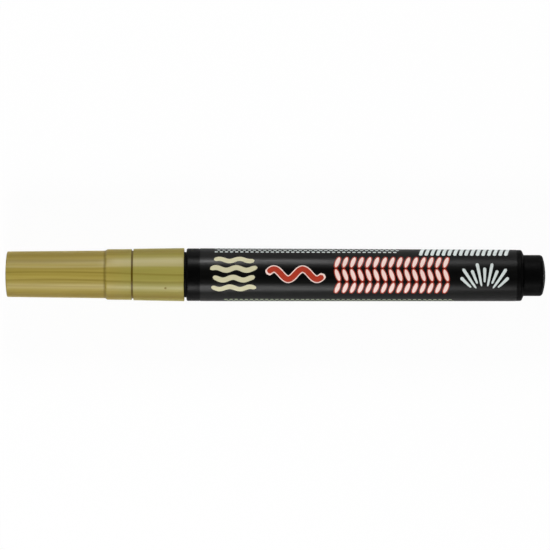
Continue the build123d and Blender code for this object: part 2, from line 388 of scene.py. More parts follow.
@dataclass(frozen=True)
class Cone:
    """Side of the marker that thin things lie on: its radius runs straight from one station to another."""

    front: float
    front_radius: float
    rear: float
    rear_radius: float

    def wrap(self, flat: np.ndarray, lift: float | np.ndarray) -> np.ndarray:
        """Lays flat points on the cone.

        A point (u, v) goes to station u, and to the angle v / r from the top towards +Y, where r is the
        radius there.

        Args:
            flat: Points in mm, of shape (..., 2).
            lift: Height over the cone.

        Returns:
            Points in mm, of shape (..., 3).
        """
        u, v = flat[..., 0], flat[..., 1]
        share = (u - self.front) / (self.rear - self.front)
        radius = self.front_radius + share * (self.rear_radius - self.front_radius)
        angle = v / radius
        reach = radius + lift
        return np.stack([u, reach * np.sin(angle), AXIS + reach * np.cos(angle)], axis=-1)

    def stroke(self, path: np.ndarray, half_width: np.ndarray, layer: Layer, across: int) -> Surface:
        """Flat stroke on the cone: points s * half_width * normal beside the path, for s from -1 to 1.

        Args:
            path: Points (u, v) of the stroke's middle, of shape (n, 2).
            half_width: Half of the stroke's width at each point.
            layer: Heights of its bottom and top.
            across: Number of points across the stroke.

        Returns:
            The stroke as a closed slab.
        """
        way = np.gradient(path, axis=0)
        way /= np.linalg.norm(way, axis=1, keepdims=True)
        normal = np.stack([-way[:, 1], way[:, 0]], axis=-1)
        share = np.linspace(-1, 1, across)
        flat = path[:, None] + share[None, :, None] * half_width[:, None, None] * normal[:, None]
        bottom, top = layer.value
        return slab(self.wrap(flat, top), self.wrap(flat, bottom))


@dataclass(frozen=True)
class Brush:
    """Width and ends of a printed stroke."""

    half: float             # half of its width
    bluntness: float        # how square its ends are: 2 makes an ellipse, and more fills out its corners
    across: int = 3         # number of points across it
    least: float = 0.02     # least square of its width, as a share of the full width's, so its ends stay open

    def widths(self, points: int) -> np.ndarray:
        """Half widths along the stroke: half * sqrt(1 - |2t - 1|^bluntness) for t from 0 to 1."""
        share = np.abs(np.linspace(-1, 1, points)) ** self.bluntness
        return self.half * np.sqrt(np.maximum(1 - share, self.least))


# Finishes


@dataclass(frozen=True)
class Grain:
    """Noise whose patches have about a given size, with a number of finer layers in it."""

    size: Triple        # along X, Y and Z
    detail: float = 3

    def add(self, tree: Tree, place: Socket) -> Socket:
        """Adds the noise to a tree.

        Args:
            tree: Tree that takes the nodes.
            place: Object coordinates in mm.

        Returns:
            The noise, from 0 to 1.
        """
        stretch = tuple(1 / length for length in self.size)
        scaled = add_node(tree, Kind.VECTOR, (place, stretch), operation="MULTIPLY")[0]
        return add_node(tree, Kind.NOISE, {"Vector": scaled, "Scale": 1, "Detail": self.detail})[0]


@dataclass(frozen=True)
class Relief:
    """Bumps of a skin, which follow a grain of their own or that of the tones."""

    strength: float
    height: float
    grain: Grain | None = None


@dataclass(frozen=True)
class Finish:
    """A material of two tones that are mixed by a grain, seen through a skin that is uneven in gloss.

    Its shader reads Object coordinates in mm, centred on the axis.
    """

    name: str
    ground: str                         # colour of the grain's low parts
    tone: str                           # colour of its high parts
    roughness: Pair                     # of the skin in the low and the high parts of its grain
    grain: Grain                        # grain of the tones
    specular: float = 0.5               # specular level of the skin
    glow: float = 0.0                   # weight of the light that goes a little way in
    glow_depth: float = 0.6             # how far that light goes
    glow_tint: Triple = (1.0, 0.9, 0.8)  # how far its red, green and blue go, as shares of that
    metallic: float = 0.0
    skin: Grain | None = None           # grain of the gloss, where it isn't that of the tones
    relief: Relief | None = None        # bumps of the skin, if any
    dull_before: float | None = None    # station ahead of which a rough mould left the skin dull, if any
    dull: float = 0.55                  # roughness there

    def shares(self, tree: Tree, place: Socket, grain: Socket) -> Shares:
        """Tones that are laid over the ground in turn.

        Args:
            tree: Tree that takes the nodes.
            place: Object coordinates in mm.
            grain: The grain's noise.

        Returns:
            Share and colour of each tone.
        """
        return [(grain, self.tone)]

    def gloss(self, tree: Tree, place: Socket, grain: Socket) -> Socket:
        """Roughness that runs with the skin's grain, and is higher in the dull part where there is one.

        Args:
            tree: Tree that takes the nodes.
            place: Object coordinates in mm.
            grain: Noise of the tones' grain.

        Returns:
            The roughness.
        """
        noise = self.skin.add(tree, place) if self.skin else grain
        level = add_node(tree, Kind.RANGE, (noise, *NOISE_RANGE, *self.roughness))[0]
        if self.dull_before is None:
            return level
        station = add_node(tree, Kind.SEPARATE, (place,))["X"]
        ahead = add_node(tree, Kind.MATHS, (station, self.dull_before), operation="LESS_THAN")[0]
        dull = add_node(tree, Kind.MATHS, (ahead, self.dull), operation="MULTIPLY")[0]
        return add_node(tree, Kind.MATHS, (level, dull), operation="MAXIMUM")[0]

    def material(self) -> bpy.types.Material:
        """Makes the finish's material the first time that it is asked for.

        Returns:
            The material.
        """
        found = bpy.data.materials.get(self.name)
        if found:
            return found
        made = bpy.data.materials.new(self.name)
        made.use_nodes = True
        tree = made.node_tree
        tree.nodes.clear()
        source = add_node(tree, Kind.COORDINATES)["Object"]
        scaled = {"Vector": source, "Location": (0, 0, -AXIS), "Scale": (1 / MM,) * 3}
        place = add_node(tree, Kind.MAPPING, scaled)[0]
        grain = self.grain.add(tree, place)
        colour = linear(self.ground)
        for share, tone in self.shares(tree, place, grain):
            tones = {0: share, COLOUR_A: colour, COLOUR_B: linear(tone)}
            colour = add_node(tree, Kind.MIX, tones, data_type="RGBA")[COLOUR_MIXED]
        look = {
            "Base Color": colour,
            "Roughness": self.gloss(tree, place, grain),
            "Specular IOR Level": self.specular,
            "Metallic": self.metallic,
            "Subsurface Weight": self.glow,
            "Subsurface Radius": self.glow_tint,
            "Subsurface Scale": self.glow_depth * MM,
        }
        if self.relief:
            height = self.relief.grain.add(tree, place) if self.relief.grain else grain
            bumps = {"Height": height, "Strength": self.relief.strength, "Distance": self.relief.height * MM}
            look["Normal"] = add_node(tree, Kind.BUMP, bumps)[0]
        shader = add_node(tree, Kind.PRINCIPLED, look)[0]
        add_node(tree, Kind.MATERIAL, {"Surface": shader})
        return made


def band(tree: Tree, value: Socket, middle: Socket | float, full: float, gone: float, depth: float) -> Socket:
    """Share that is at its most round a middle value and fades out on both sides of it.

    Args:
        tree: Tree that takes the nodes.
        value: Value that the band runs across.
        middle: Its middle.
        full: Half width that shows in full.
        gone: Half width where it ends.
        depth: Share in full.

    Returns:
        The share.
    """
    offset = add_node(tree, Kind.MATHS, (value, middle), operation="SUBTRACT")[0]
    away = add_node(tree, Kind.MATHS, (offset,), operation="ABSOLUTE")[0]
    return add_node(tree, Kind.RANGE, (away, full, gone, depth, 0.0), **SMOOTH)[0]


DARK = "#6f5c14"    # dark gold of the flow lines, where the flakes stand on edge, and of the bands of painted shade
PAINTED_HIGHLIGHT_GOLD = "#c9bb8c"    # pale gold of the bands of painted highlight


@dataclass(frozen=True)
class FlowLineAndPaintedBand:
    """Line along the cap where the pearl flakes turned as the mould filled; some are bands of painted shade,
    and pale ones painted highlight.
    """

    angle: float                    # mean angle from the top towards +Y, in degrees
    sway: float                     # how far it wanders to each side, in degrees
    length: float                   # length of one sway along the cap
    start: float                    # station where the sway starts
    width: float                    # half width, in degrees, at which it is half gone
    depth: float                    # share of its tone at its middle
    tone: str = DARK
    fade_in: Pair | None = None     # stations between which it fades in, where it isn't as long as the cap

    def share(self, tree: Tree, station: Socket, turn: Socket) -> Socket:
        """Works out how much of the line shows: it fades on both sides of angle + sway * sin(station).

        Args:
            tree: Tree that takes the nodes.
            station: Station along the cap.
            turn: Angle from the top towards +Y, in radians.

        Returns:
            Share of the line's tone.
        """
        pace = 2 * pi / self.length
        phase = add_node(tree, Kind.MATHS, (station, pace, -pace * self.start), operation="MULTIPLY_ADD")[0]
        wave = add_node(tree, Kind.MATHS, (phase,), operation="SINE")[0]
        swing = (wave, radians(self.sway), radians(self.angle))
        middle = add_node(tree, Kind.MATHS, swing, operation="MULTIPLY_ADD")[0]
        across = band(tree, turn, middle, 0.0, radians(2 * self.width), self.depth)
        if self.fade_in is None:
            return across
        along = add_node(tree, Kind.RANGE, (station, *self.fade_in, 0.0, 1.0), **SMOOTH)[0]
        return add_node(tree, Kind.MATHS, (across, along), operation="MULTIPLY")[0]


@dataclass(frozen=True)
class PaintedShadeRing:
    """Ring of painted shade on the cap, in a groove or at the foot of a step."""

    middle: float   # station of its middle
    full: float     # half width that is fully dark
    gone: float     # half width where the shade ends
    depth: float    # share of the shade at its middle


@dataclass(frozen=True)
class PearlGoldPlastic(Finish):
    """Polypropylene moulded with gold pearl pigment.

    The flakes lie along the flow, so the cap shows fine lighter and darker streaks along its length, and dark
    lines where two fronts of the melt ran side by side. Broad bands of painted shade darken its sides, and
    pale bands of painted highlight, with painted shade beside them, widen the lamp's highlight on its upper
    side. Under the smooth skin the flakes give a soft satin glow, a little more olive towards the mouth. The
    groove and the foot of the ring's step get painted shade. The lines end at the rim of the cap's closed
    end.
    """

    name: str = "pearl_gold_polypropylene"
    ground: str = "#968539"
    tone: str = "#a59447"
    roughness: Pair = (0.46, 0.40)
    specular: float = 0.22
    grain: Grain = Grain((42.0, 0.6, 0.6), detail=5)
    relief: Relief = Relief(strength=0.12, height=0.02)
    recesses: tuple[PaintedShadeRing, ...] = ()
    even: str = "#9e8d40"               # colour that calms the streaks on the closed end
    calm: float = 0.7                   # share of that colour there
    rim: Pair = (4.2, 5.6)              # radii of the closed end between which the flow lines and painted bands fade in
    olive: str = "#8a8d45"              # colour that the gold turns to towards the mouth
    olive_share: float = 0.45           # share of that colour there
    olive_span: Pair = (-46.0, -34.0)   # stations between which the gold turns
    shade: str = "#5f4c06"              # colour of the painted shade in the recesses
    lines: tuple[FlowLineAndPaintedBand, ...] = (
        FlowLineAndPaintedBand(angle=-15.5, sway=2.4, length=48, start=-67, width=2.2, depth=0.34),
        FlowLineAndPaintedBand(angle=2.5, sway=3.4, length=70, start=-74, width=1.9, depth=0.46),
        FlowLineAndPaintedBand(angle=35.5, sway=1.0, length=37, start=-50, width=1.2, depth=0.12),
        # Broad bands of painted shade that darken both sides of the cap.
        FlowLineAndPaintedBand(angle=-60, sway=2.5, length=70, start=-40, width=14.0, depth=0.70),
        FlowLineAndPaintedBand(angle=60, sway=2.0, length=64, start=-50, width=14.0, depth=0.60),
        # Bands of painted highlight that broaden the lamp's highlight on the upper side.
        FlowLineAndPaintedBand(
            angle=29, sway=1.5, length=60, start=-40, width=8.0, depth=0.42, tone=PAINTED_HIGHLIGHT_GOLD, fade_in=(-46.0, -40.0)
        ),
        FlowLineAndPaintedBand(angle=19.5, sway=1.0, length=50, start=-45, width=2.6, depth=0.28, tone=PAINTED_HIGHLIGHT_GOLD),
        # Painted shade along the upper edge of that highlight, on the cap's upper part ahead of the ring.
        FlowLineAndPaintedBand(angle=35.5, sway=1.0, length=60, start=-40, width=5.0, depth=0.34, fade_in=(-40.0, -46.0)),
        # Flow lines on the underside.
        FlowLineAndPaintedBand(angle=118, sway=3.0, length=55, start=-60, width=2.5, depth=0.35),
        FlowLineAndPaintedBand(angle=-140, sway=3.0, length=60, start=-35, width=2.5, depth=0.30),
    )

    def shares(self, tree: Tree, place: Socket, grain: Socket) -> Shares:
        """Pale streaks, then what calms or turns the gold, the flow lines and bands of painted shade and
        highlight, and the painted shade of the recesses.

        Args:
            tree: Tree that takes the nodes.
            place: Object coordinates in mm.
            grain: Noise of the streaks.

        Returns:
            Share and colour of each tone.
        """
        x, y, z = add_node(tree, Kind.SEPARATE, (place,))
        turn = add_node(tree, Kind.MATHS, (y, z), operation="ARCTAN2")[0]
        squares = [add_node(tree, Kind.MATHS, (side, side), operation="MULTIPLY")[0] for side in (y, z)]
        square = add_node(tree, Kind.MATHS, tuple(squares), operation="ADD")[0]
        radius = add_node(tree, Kind.MATHS, (square,), operation="SQRT")[0]
        on_side = add_node(tree, Kind.RANGE, (radius, *self.rim, 0.0, 1.0), **SMOOTH)[0]
        streaks = add_node(tree, Kind.RANGE, (grain, *NOISE_RANGE, 0.0, 1.0))[0]
        calm = add_node(tree, Kind.RANGE, (radius, *self.rim, self.calm, 0.0), **SMOOTH)[0]
        olive = add_node(tree, Kind.RANGE, (x, *self.olive_span, 0.0, self.olive_share), **SMOOTH)[0]
        shares = [(streaks, self.tone), (calm, self.even), (olive, self.olive)]
        # Flow lines, and the bands of painted shade and highlight, fade in at the closed end's rim.
        for line in self.lines:
            drawn = (line.share(tree, x, turn), on_side)
            shares.append((add_node(tree, Kind.MATHS, drawn, operation="MULTIPLY")[0], line.tone))
        # Painted shade in the groove and at the foot of the ring's slope.
        for dark in self.recesses:
            shares.append((band(tree, x, dark.middle, dark.full, dark.gone, dark.depth), self.shade))
        return shares


@dataclass(frozen=True)
class MouldedPlastic(Finish):
    """Plain moulded plastic: an even colour with faint patches, and the skin of a polished mould.

    The gloss changes a little from place to place, over fine dimples as on orange peel.
    """

    grain: Grain = Grain((9.0, 3.0, 3.0))
    skin: Grain = Grain((1.6, 0.7, 0.7))
    relief: Relief = Relief(strength=0.15, height=0.01, grain=Grain((0.35, 0.35, 0.35), detail=1))


@dataclass(frozen=True)
class LabelFilm(Finish):
    """Black polypropylene film, rolled on: satin, with faint streaks and a shallow lengthwise ripple."""

    name: str = "black_polypropylene_film"
    ground: str = "#020202"
    tone: str = "#050504"
    roughness: Pair = (0.32, 0.40)
    specular: float = 0.14
    grain: Grain = Grain((30.0, 0.6, 0.6), detail=4)
    relief: Relief = Relief(strength=0.2, height=0.03, grain=Grain((12.0, 2.2, 2.2), detail=1))


@dataclass(frozen=True)
class PrintInk(Finish):
    """Opaque flexographic ink: a flat colour with faint mottle, as dull as the film under it."""

    roughness: Pair = (0.42, 0.50)
    specular: float = 0.14
    grain: Grain = Grain((0.6, 0.5, 0.5))


@dataclass(frozen=True)
class BondedFibre(Finish):
    """Polyester fibre bonded into a rod: matt, tinted by its ink, with fine ridges along its length.

    The ridges are paler and smoother than the valleys, and coarser than the real fibres so that they show.
    """

    name: str = "bonded_polyester_fibre"
    ground: str = "#beb58a"
    tone: str = "#e0dab4"
    roughness: Pair = (0.95, 0.80)
    specular: float = 0.2
    grain: Grain = Grain((2.5, 0.08, 0.08))
    relief: Relief = Relief(strength=0.5, height=0.03)


@dataclass(frozen=True)
class Metal(Finish):
    """Drawn, plated or polished metal: fine lines of gloss along the way that it was worked."""

    metallic: float = 1.0


# The barrel's black skin has the most gloss of the black pieces.
BARREL_BLACK = MouldedPlastic("black_polypropylene", "#030303", "#060606", (0.30, 0.40), specular=0.05)
# Black plastic straight from the mould, a little duller than the barrel's.
PLUG_BLACK = MouldedPlastic("black_polyethylene", "#020202", "#040404", (0.42, 0.52), specular=0.04)
# The gate's scar is cut plastic without the smooth skin of the mould, so it is dull and darker.
SCAR_GOLD = MouldedPlastic("cut_gold_polypropylene", "#85743a", "#6f602c", (0.60, 0.75), specular=0.10)
# Natural polyethylene is milky: light goes a little way in and softens its edges.
LINER_WHITE = MouldedPlastic(
    "natural_polyethylene", "#dcd9cf", "#d2cec3", (0.40, 0.50), specular=0.40, glow=0.6
)
# The tip holder is a pale cream that goes with its ink, glossier and less milky than the liner.
HOLDER_CREAM = MouldedPlastic(
    "cream_polypropylene", "#d8d4b8", "#cecaab", (0.32, 0.42), specular=0.35, glow=0.35
)
# Acetal of the valve: a harder, waxier white.
VALVE_WHITE = MouldedPlastic("white_acetal", "#dcdad2", "#d2cfc6", (0.34, 0.44), specular=0.40, glow=0.25)
# Plating over drawn brass keeps the fine lines of the drawing, so its gloss breaks up along the tip.
FERRULE_NICKEL = Metal("nickel_plated_brass", "#c9c6bd", "#b3afa5", (0.16, 0.30), Grain((3.0, 0.12, 0.12)))
# Drawn wire is greyer and duller than the plating.
SPRING_STEEL = Metal("drawn_stainless_wire", "#b9babb", "#9fa0a1", (0.25, 0.38), Grain((0.5, 0.15, 0.15)))
# Tumbled and polished ball: close to a mirror.
BALL_STEEL = Metal("polished_stainless_steel", "#c4c5c6", "#b5b6b7", (0.08, 0.18), Grain((0.8, 0.8, 0.8)))


class Ink(Enum):
    """Inks that the label is printed in."""

    CREAM = PrintInk("cream_ink", "#d0cbaa", "#c6c19e")
    RED = PrintInk("red_ink", "#b03a24", "#a4321f")
    BLUSH = PrintInk("blush_white_ink", "#f0d8d0", "#e8cec5")
    WHITE = PrintInk("white_ink", "#d4dbd9", "#c9d1ce")
    GREEN = PrintInk("pale_green_ink", "#a3ae92", "#97a386")


# Sub-assemblies


@dataclass
class Cap:
    """Gold stepped cap with a domed end, a raised ring, a groove and a skirt, and the liner inside it."""

    crown_rise: float = 0.43
    end_round: float = 0.35
    upper_length: float = 25.52
    upper_draft: float = 0.265
    upper_step: float = 0.362
    ring_length: float = 6.76
    ring_slope: float = 0.55
    ring_draft: float = 0.053
    ring_front_round: float = 0.32
    ring_rear_round: float = 0.12
    ring_step: float = 0.08
    foot_shade: float = 0.55     # share of painted shade on the gold at the foot of the ring's slope
    groove_width: float = 0.48
    groove_depth: float = 0.38
    groove_fade: float = 0.02       # over which the painted shade fades out beside the groove
    skirt_draft: float = 0.21
    mouth_step: float = 0.074       # a little under the solid's, so that the smooth round stays in its box
    mouth_round: float = 0.15
    edge_round: float = 0.06
    skirt_bore: float = 5.95
    skirt_bore_depth: float = 11.65
    ring_bore: float = 5.50
    ring_bore_depth: float = 6.40
    upper_bore: float = 4.97
    liner_radius: float = 4.95
    liner_bore: float = 4.35
    liner_lead_in: float = 0.25
    liner_end_wall: float = 0.80
    liner_floor_round: float = 0.4
    scar_setback: float = 4.67      # from the cap's mouth
    scar_arc: float = -3.63
    scar_radius: float = 0.30
    scar_rise: float = 0.02
    scar_rings: int = 7
    scar_spokes: int = 32

    def __post_init__(self) -> None:
        """Works out the stations, the outside radii and the gold with the painted shade of its recesses."""
        self.end, self.mouth = ends("cap_shell")
        self.inside_end, self.liner_mouth = ends("cap_liner")
        self.ring_front = self.end + self.upper_length
        self.ring_rear = self.ring_front + self.ring_length
        self.skirt_front = self.ring_rear + self.groove_width
        self.mouth_radius = COLLAR + self.mouth_step
        self.skirt_radius = self.mouth_radius - self.skirt_draft
        self.ring_radius = self.skirt_radius - self.ring_step
        half_groove = self.groove_width / 2
        # Painted shade in the groove and at the foot of the ring's slope.
        groove = PaintedShadeRing(self.ring_rear + half_groove, half_groove, half_groove + self.groove_fade, 1.0)
        ring_foot_shade = PaintedShadeRing(self.ring_front, 0.0, self.ring_slope, self.foot_shade)
        self.gold = PearlGoldPlastic(recesses=(groove, ring_foot_shade))

    def shell(self) -> None:
        """Cap moulding, turned from its outside profile and its three bores."""
        ring_front_radius = self.ring_radius - self.ring_draft
        upper_radius = ring_front_radius - self.upper_step
        groove_radius = self.ring_radius - self.groove_depth
        stop = self.mouth - self.skirt_bore_depth
        ring_bore_front = stop - self.ring_bore_depth
        edge = self.edge_round
        corners = [
            *crown(upper_radius - self.upper_draft, self.crown_rise, self.end, self.end_round),
            (self.ring_front, upper_radius, edge),
            (self.ring_front + self.ring_slope, ring_front_radius, self.ring_front_round),
            (self.ring_rear, self.ring_radius, self.ring_rear_round),
            (self.ring_rear, groove_radius),
            (self.skirt_front, groove_radius),
            (self.skirt_front, self.skirt_radius, edge),
            (self.mouth, self.mouth_radius, self.mouth_round),
            (self.mouth, self.skirt_bore, self.mouth_round),
            (stop, self.skirt_bore),
            (stop, self.ring_bore, edge),
            (ring_bore_front, self.ring_bore),
            (ring_bore_front, self.upper_bore, edge),
            (self.inside_end, self.upper_bore),
            (self.inside_end, 0.0),
        ]
        turned(corners).piece("cap_moulding", Body.CAP, Slot.GOLD, self.gold, "cap_shell")

    def gate_scar(self) -> None:
        """Scar of the moulding gate: a disc whose height falls off as 1 - s^2 from its middle to its edge."""
        skirt = Cone(self.skirt_front, self.skirt_radius, self.mouth, self.mouth_radius)
        rings = np.linspace(1 / self.scar_rings, 1, self.scar_rings)
        share = np.append(rings, 1)[:, None]
        lift = self.scar_rise * np.append(1 - rings**2, -1)[:, None]
        turn = np.linspace(0, 2 * pi, self.scar_spokes, endpoint=False)
        middle = np.array([self.mouth - self.scar_setback, self.scar_arc])
        spot = self.scar_radius * share[..., None] * np.stack([np.cos(turn), np.sin(turn)], axis=-1)
        poles = skirt.wrap(np.stack([middle, middle]), self.scar_rise * np.array([1, -1]))
        surface = capped(skirt.wrap(middle + spot, lift), poles)
        surface.piece("cap_gate_scar", Body.CAP, Slot.GOLD, SCAR_GOLD)

    def liner(self) -> None:
        """Thimble that closes round the tip holder."""
        lead = self.liner_lead_in
        floor = self.inside_end + self.liner_end_wall
        corners = [
            (self.inside_end, 0.0),
            (self.inside_end, self.liner_radius, self.edge_round),
            (self.liner_mouth, self.liner_radius, self.edge_round),
            (self.liner_mouth, self.liner_bore + lead),
            (self.liner_mouth - lead, self.liner_bore),
            (floor, self.liner_bore, self.liner_floor_round),
            (floor, 0.0),
        ]
        turned(corners).piece("cap_liner_thimble", Body.CAP, Slot.WHITE, LINER_WHITE, "cap_liner")

    def build(self) -> None:
        """Builds and dresses the cap's pieces."""
        self.shell()
        self.gate_scar()
        self.liner()


@dataclass
class Barrel:
    """Black barrel with its beaded neck, and the plug that closes its tail."""

    collar_length: float = 3.5
    draft: float = 0.19
    shoulder_round: float = 0.40
    neck_radius: float = 5.80
    neck_bore: float = 4.90
    neck_chamfer: float = 0.30
    bead_setback: float = 4.0
    bead_height: float = 0.10
    bead_width: float = 1.2
    stop_width: float = 0.28        # fine groove that the label's edge is set against
    stop_depth: float = 0.06
    chamber_radius: float = 5.35
    chamber_setback: float = 1.0
    chamber_flare: float = 0.6
    plug_radius: float = 5.33
    plug_hollow: float = 4.23
    flange_length: float = 1.82
    flange_slope: float = 0.57
    flange_round: float = 0.55
    stub_hollow: float = 4.0
    stub_floor_round: float = 0.3
    stub_end_wall: float = 1.2
    stub_round: float = 0.90
    crown_rise: float = 0.86
    edge_round: float = 0.05

    def __post_init__(self) -> None:
        """Works out the ends, and the black of the barrel, which is dull on the neck under the cap."""
        self.neck_front, self.rear = ends("barrel")
        self.label_front, _ = ends("label")
        self.plug_rim, self.tail_end = ends("tail_plug")
        self.rear_radius = COLLAR - self.draft
        self.shoulder = self.label_front - self.collar_length
        self.black = replace(BARREL_BLACK, dull_before=self.shoulder)

    def tube(self) -> None:
        """Barrel moulding: neck, shoulder, collar, the groove that the label stops at, and ink chamber."""
        shoulder = self.shoulder
        groove = self.label_front - self.stop_width
        bead = self.neck_front + self.bead_setback
        half, quarter = self.bead_width / 2, self.bead_width / 4
        bead_radius = self.neck_radius + self.bead_height
        chamber_front = shoulder + self.chamber_setback
        corners = [
            (self.neck_front, self.neck_bore),
            (self.neck_front, self.neck_radius - self.neck_chamfer),
            (self.neck_front + self.neck_chamfer, self.neck_radius),
            (bead - half, self.neck_radius),
            (bead - quarter, bead_radius, self.bead_height),
            (bead + quarter, bead_radius, self.bead_height),
            (bead + half, self.neck_radius),
            (shoulder, self.neck_radius),
            (shoulder, COLLAR, self.shoulder_round),
            (groove, COLLAR),
            (groove, COLLAR - self.stop_depth),
            (self.label_front, COLLAR - self.stop_depth),
            (self.label_front, COLLAR),
            (self.rear, self.rear_radius, self.edge_round),
            (self.rear, self.chamber_radius),
            (chamber_front + self.chamber_flare, self.chamber_radius),
            (chamber_front, self.neck_bore),
        ]
        turned(corners, closed=True).piece("barrel_moulding", Body.BARREL, Slot.BLACK, self.black, "barrel")

    def plug(self) -> None:
        """Tail plug: hollow skirt, sloping flange and domed stub."""
        dome = crown(STUB, -self.crown_rise, self.tail_end, self.stub_round)
        stub_start = self.rear + self.flange_length
        stub_floor = self.tail_end - self.crown_rise - self.stub_end_wall
        corners = [
            (stub_floor, 0.0),
            (stub_floor, self.stub_hollow, self.stub_floor_round),
            (stub_start, self.stub_hollow),
            (self.rear, self.plug_hollow),
            (self.plug_rim, self.plug_hollow, self.edge_round),
            (self.plug_rim, self.plug_radius, self.edge_round),
            (self.rear, self.plug_radius),
            (self.rear, self.rear_radius, self.edge_round),
            (stub_start - self.flange_slope, self.rear_radius, self.flange_round),
            (stub_start, STUB),
            *reversed(dome),
        ]
        turned(corners).piece("tail_plug_moulding", Body.BARREL, Slot.BLACK, PLUG_BLACK, "tail_plug")

    def build(self) -> None:
        """Builds and dresses the barrel's pieces."""
        self.tube()
        self.plug()


@dataclass
class Label:
    """Film wrapped round the barrel with a lap at its back, and a plain pattern of chalk strokes on it.

    Places on the film are a station, and an arc from the top towards +Y.
    """

    barrel: Barrel
    adhesive: float = 0.020
    thickness: float = 0.023
    lap_gap: float = 0.002      # between the film and its own start under the lap
    seam: float = 14.5          # arc from the top to the lap's edge
    lap: float = 3.0
    lap_ramp: float = 0.8
    rows: int = 9
    columns: int = 320
    stroke_points: int = 24     # points along a short stroke
    comb_lines: tuple[Triple, ...] = (      # first and last station, and arc
        (-15.6, -5.4, 4.0),
        (-16.6, -4.6, 1.5),
        (-15.9, -5.2, -1.0),
        (-16.3, -4.9, -3.5),
    )
    comb_wave: float = 5.2
    comb_sway: float = 0.35
    comb_points: int = 48
    comb_brush: Brush = Brush(half=0.65, bluntness=14, across=5)
    ribbon_span: Pair = (-2.2, 12.4)
    ribbon_arc: float = 0.2
    ribbon_wave: float = 7.3
    ribbon_sway: float = 1.3
    ribbon_points: int = 96
    ribbon_brush: Brush = Brush(half=0.72, bluntness=40, across=7)
    ribbon_trim: int = 2        # points that the edge runs on past the ribbon at each end
    edge_brush: Brush = Brush(half=0.98, bluntness=40, across=9)
    dab_span: Pair = (15.8, 43.4)
    dab_count: int = 15
    dab_rows: tuple[Triple, ...] = (        # lower and upper arc, and lean
        (2.0, 4.9, 1.0),
        (-1.45, 1.45, -1.0),
        (-4.9, -2.0, 1.0),
    )
    dab_brush: Brush = Brush(half=0.50, bluntness=5, across=5)
    dab_slim: float = 0.62      # width towards a dab's ends, as a share of its middle's
    dab_edge: float = 0.22
    fan_root: Pair = (53.2, -6.6)
    fan_turn: Pair = (45, 135)                                  # degrees
    fan_rays: tuple[Pair, ...] = ((4.8, 8.6), (3.8, 10.0))      # reach of every other ray
    fan_count: int = 9
    fan_brush: Brush = Brush(half=0.34, bluntness=12)
    fan_taper: Pair = (0.7, 1.3)
    bar_span: Pair = (36.9, 58.6)
    bar_count: int = 16
    bar_arcs: Pair = (5.6, 10.4)
    bar_lean: float = 1.0
    bar_brush: Brush = Brush(half=0.44, bluntness=24, across=4)
    weaves: tuple[tuple[Ink, float, float, float, int], ...] = (
        # Ink, first and last station, arc of the first row, and number of rows, negative where they go down.
        (Ink.WHITE, -15.5, 31.6, 7.0, 5),
        (Ink.GREEN, -13.0, 46.0, -8.0, -3),
    )
    dash: float = 0.85
    dash_step: float = 1.3
    dash_rise: float = 1.1
    dash_points: int = 10
    dash_brush: Brush = Brush(half=0.24, bluntness=6)
    strokes: dict[Ink, list[Surface]] = field(default_factory=dict)

    def __post_init__(self) -> None:
        """Works out the film's ends and the side that it lies on."""
        self.front, self.rear = ends("label")
        self.side = Cone(self.front, COLLAR, self.barrel.rear, self.barrel.rear_radius)

    def film(self) -> None:
        """Film as a strip wound once round the barrel and over its own start.

        Its inner face lies at the adhesive's height, and rises by its own thickness along the ramp before
        the lap.
        """
        turn = 2 * pi * COLLAR
        arc = np.linspace(turn + self.lap, 0, self.columns)
        rise = np.clip((arc - turn + self.lap_ramp) / self.lap_ramp, 0, 1)
        under = self.adhesive + rise * (self.thickness + self.lap_gap)
        stations = np.linspace(self.front, self.rear, self.rows)
        flat = np.stack(np.meshgrid(stations, turn - self.seam - arc, indexing="ij"), axis=-1)
        surface = slab(self.side.wrap(flat, under + self.thickness), self.side.wrap(flat, under))
        surface.piece("label_film_wrap", Body.BARREL, Slot.LABEL, LabelFilm(), "label")

    def draw(
        self,
        ink: Ink,
        path: np.ndarray,
        brush: Brush,
        layer: Layer = Layer.UNDER,
        swell: float | np.ndarray = 1.0,
        edge: float = 0.0,
    ) -> None:
        """Adds a stroke to what is printed in an ink.

        Args:
            ink: Ink of the stroke.
            path: Points (u, v) of its middle, of shape (n, 2).
            brush: Its width and ends.
            layer: Heights of its bottom and top.
            swell: Share of the brush's width along it.
            edge: How much wider it is on both sides.
        """
        half_width = brush.widths(len(path)) * swell + edge
        self.strokes.setdefault(ink, []).append(self.side.stroke(path, half_width, layer, brush.across))

    def comb(self) -> None:
        """Cream lines side by side, each swaying as a sine of the station."""
        for number, (first, last, arc) in enumerate(self.comb_lines):
            u = np.linspace(first, last, self.comb_points)
            path = np.stack([u, arc + self.comb_sway * np.sin(2 * pi * u / self.comb_wave + number)], axis=-1)
            self.draw(Ink.CREAM, path, self.comb_brush)

    def ribbon(self) -> None:
        """Red wave that sways as a sine of the station, with a blush-white edge on both sides."""
        u = np.linspace(*self.ribbon_span, self.ribbon_points)
        sway = self.ribbon_sway * np.sin(2 * pi * (u - u[0]) / self.ribbon_wave)
        path = np.stack([u, self.ribbon_arc + sway], axis=-1)
        self.draw(Ink.BLUSH, path, self.edge_brush)
        self.draw(Ink.RED, path[self.ribbon_trim : -self.ribbon_trim], self.ribbon_brush, Layer.OVER)

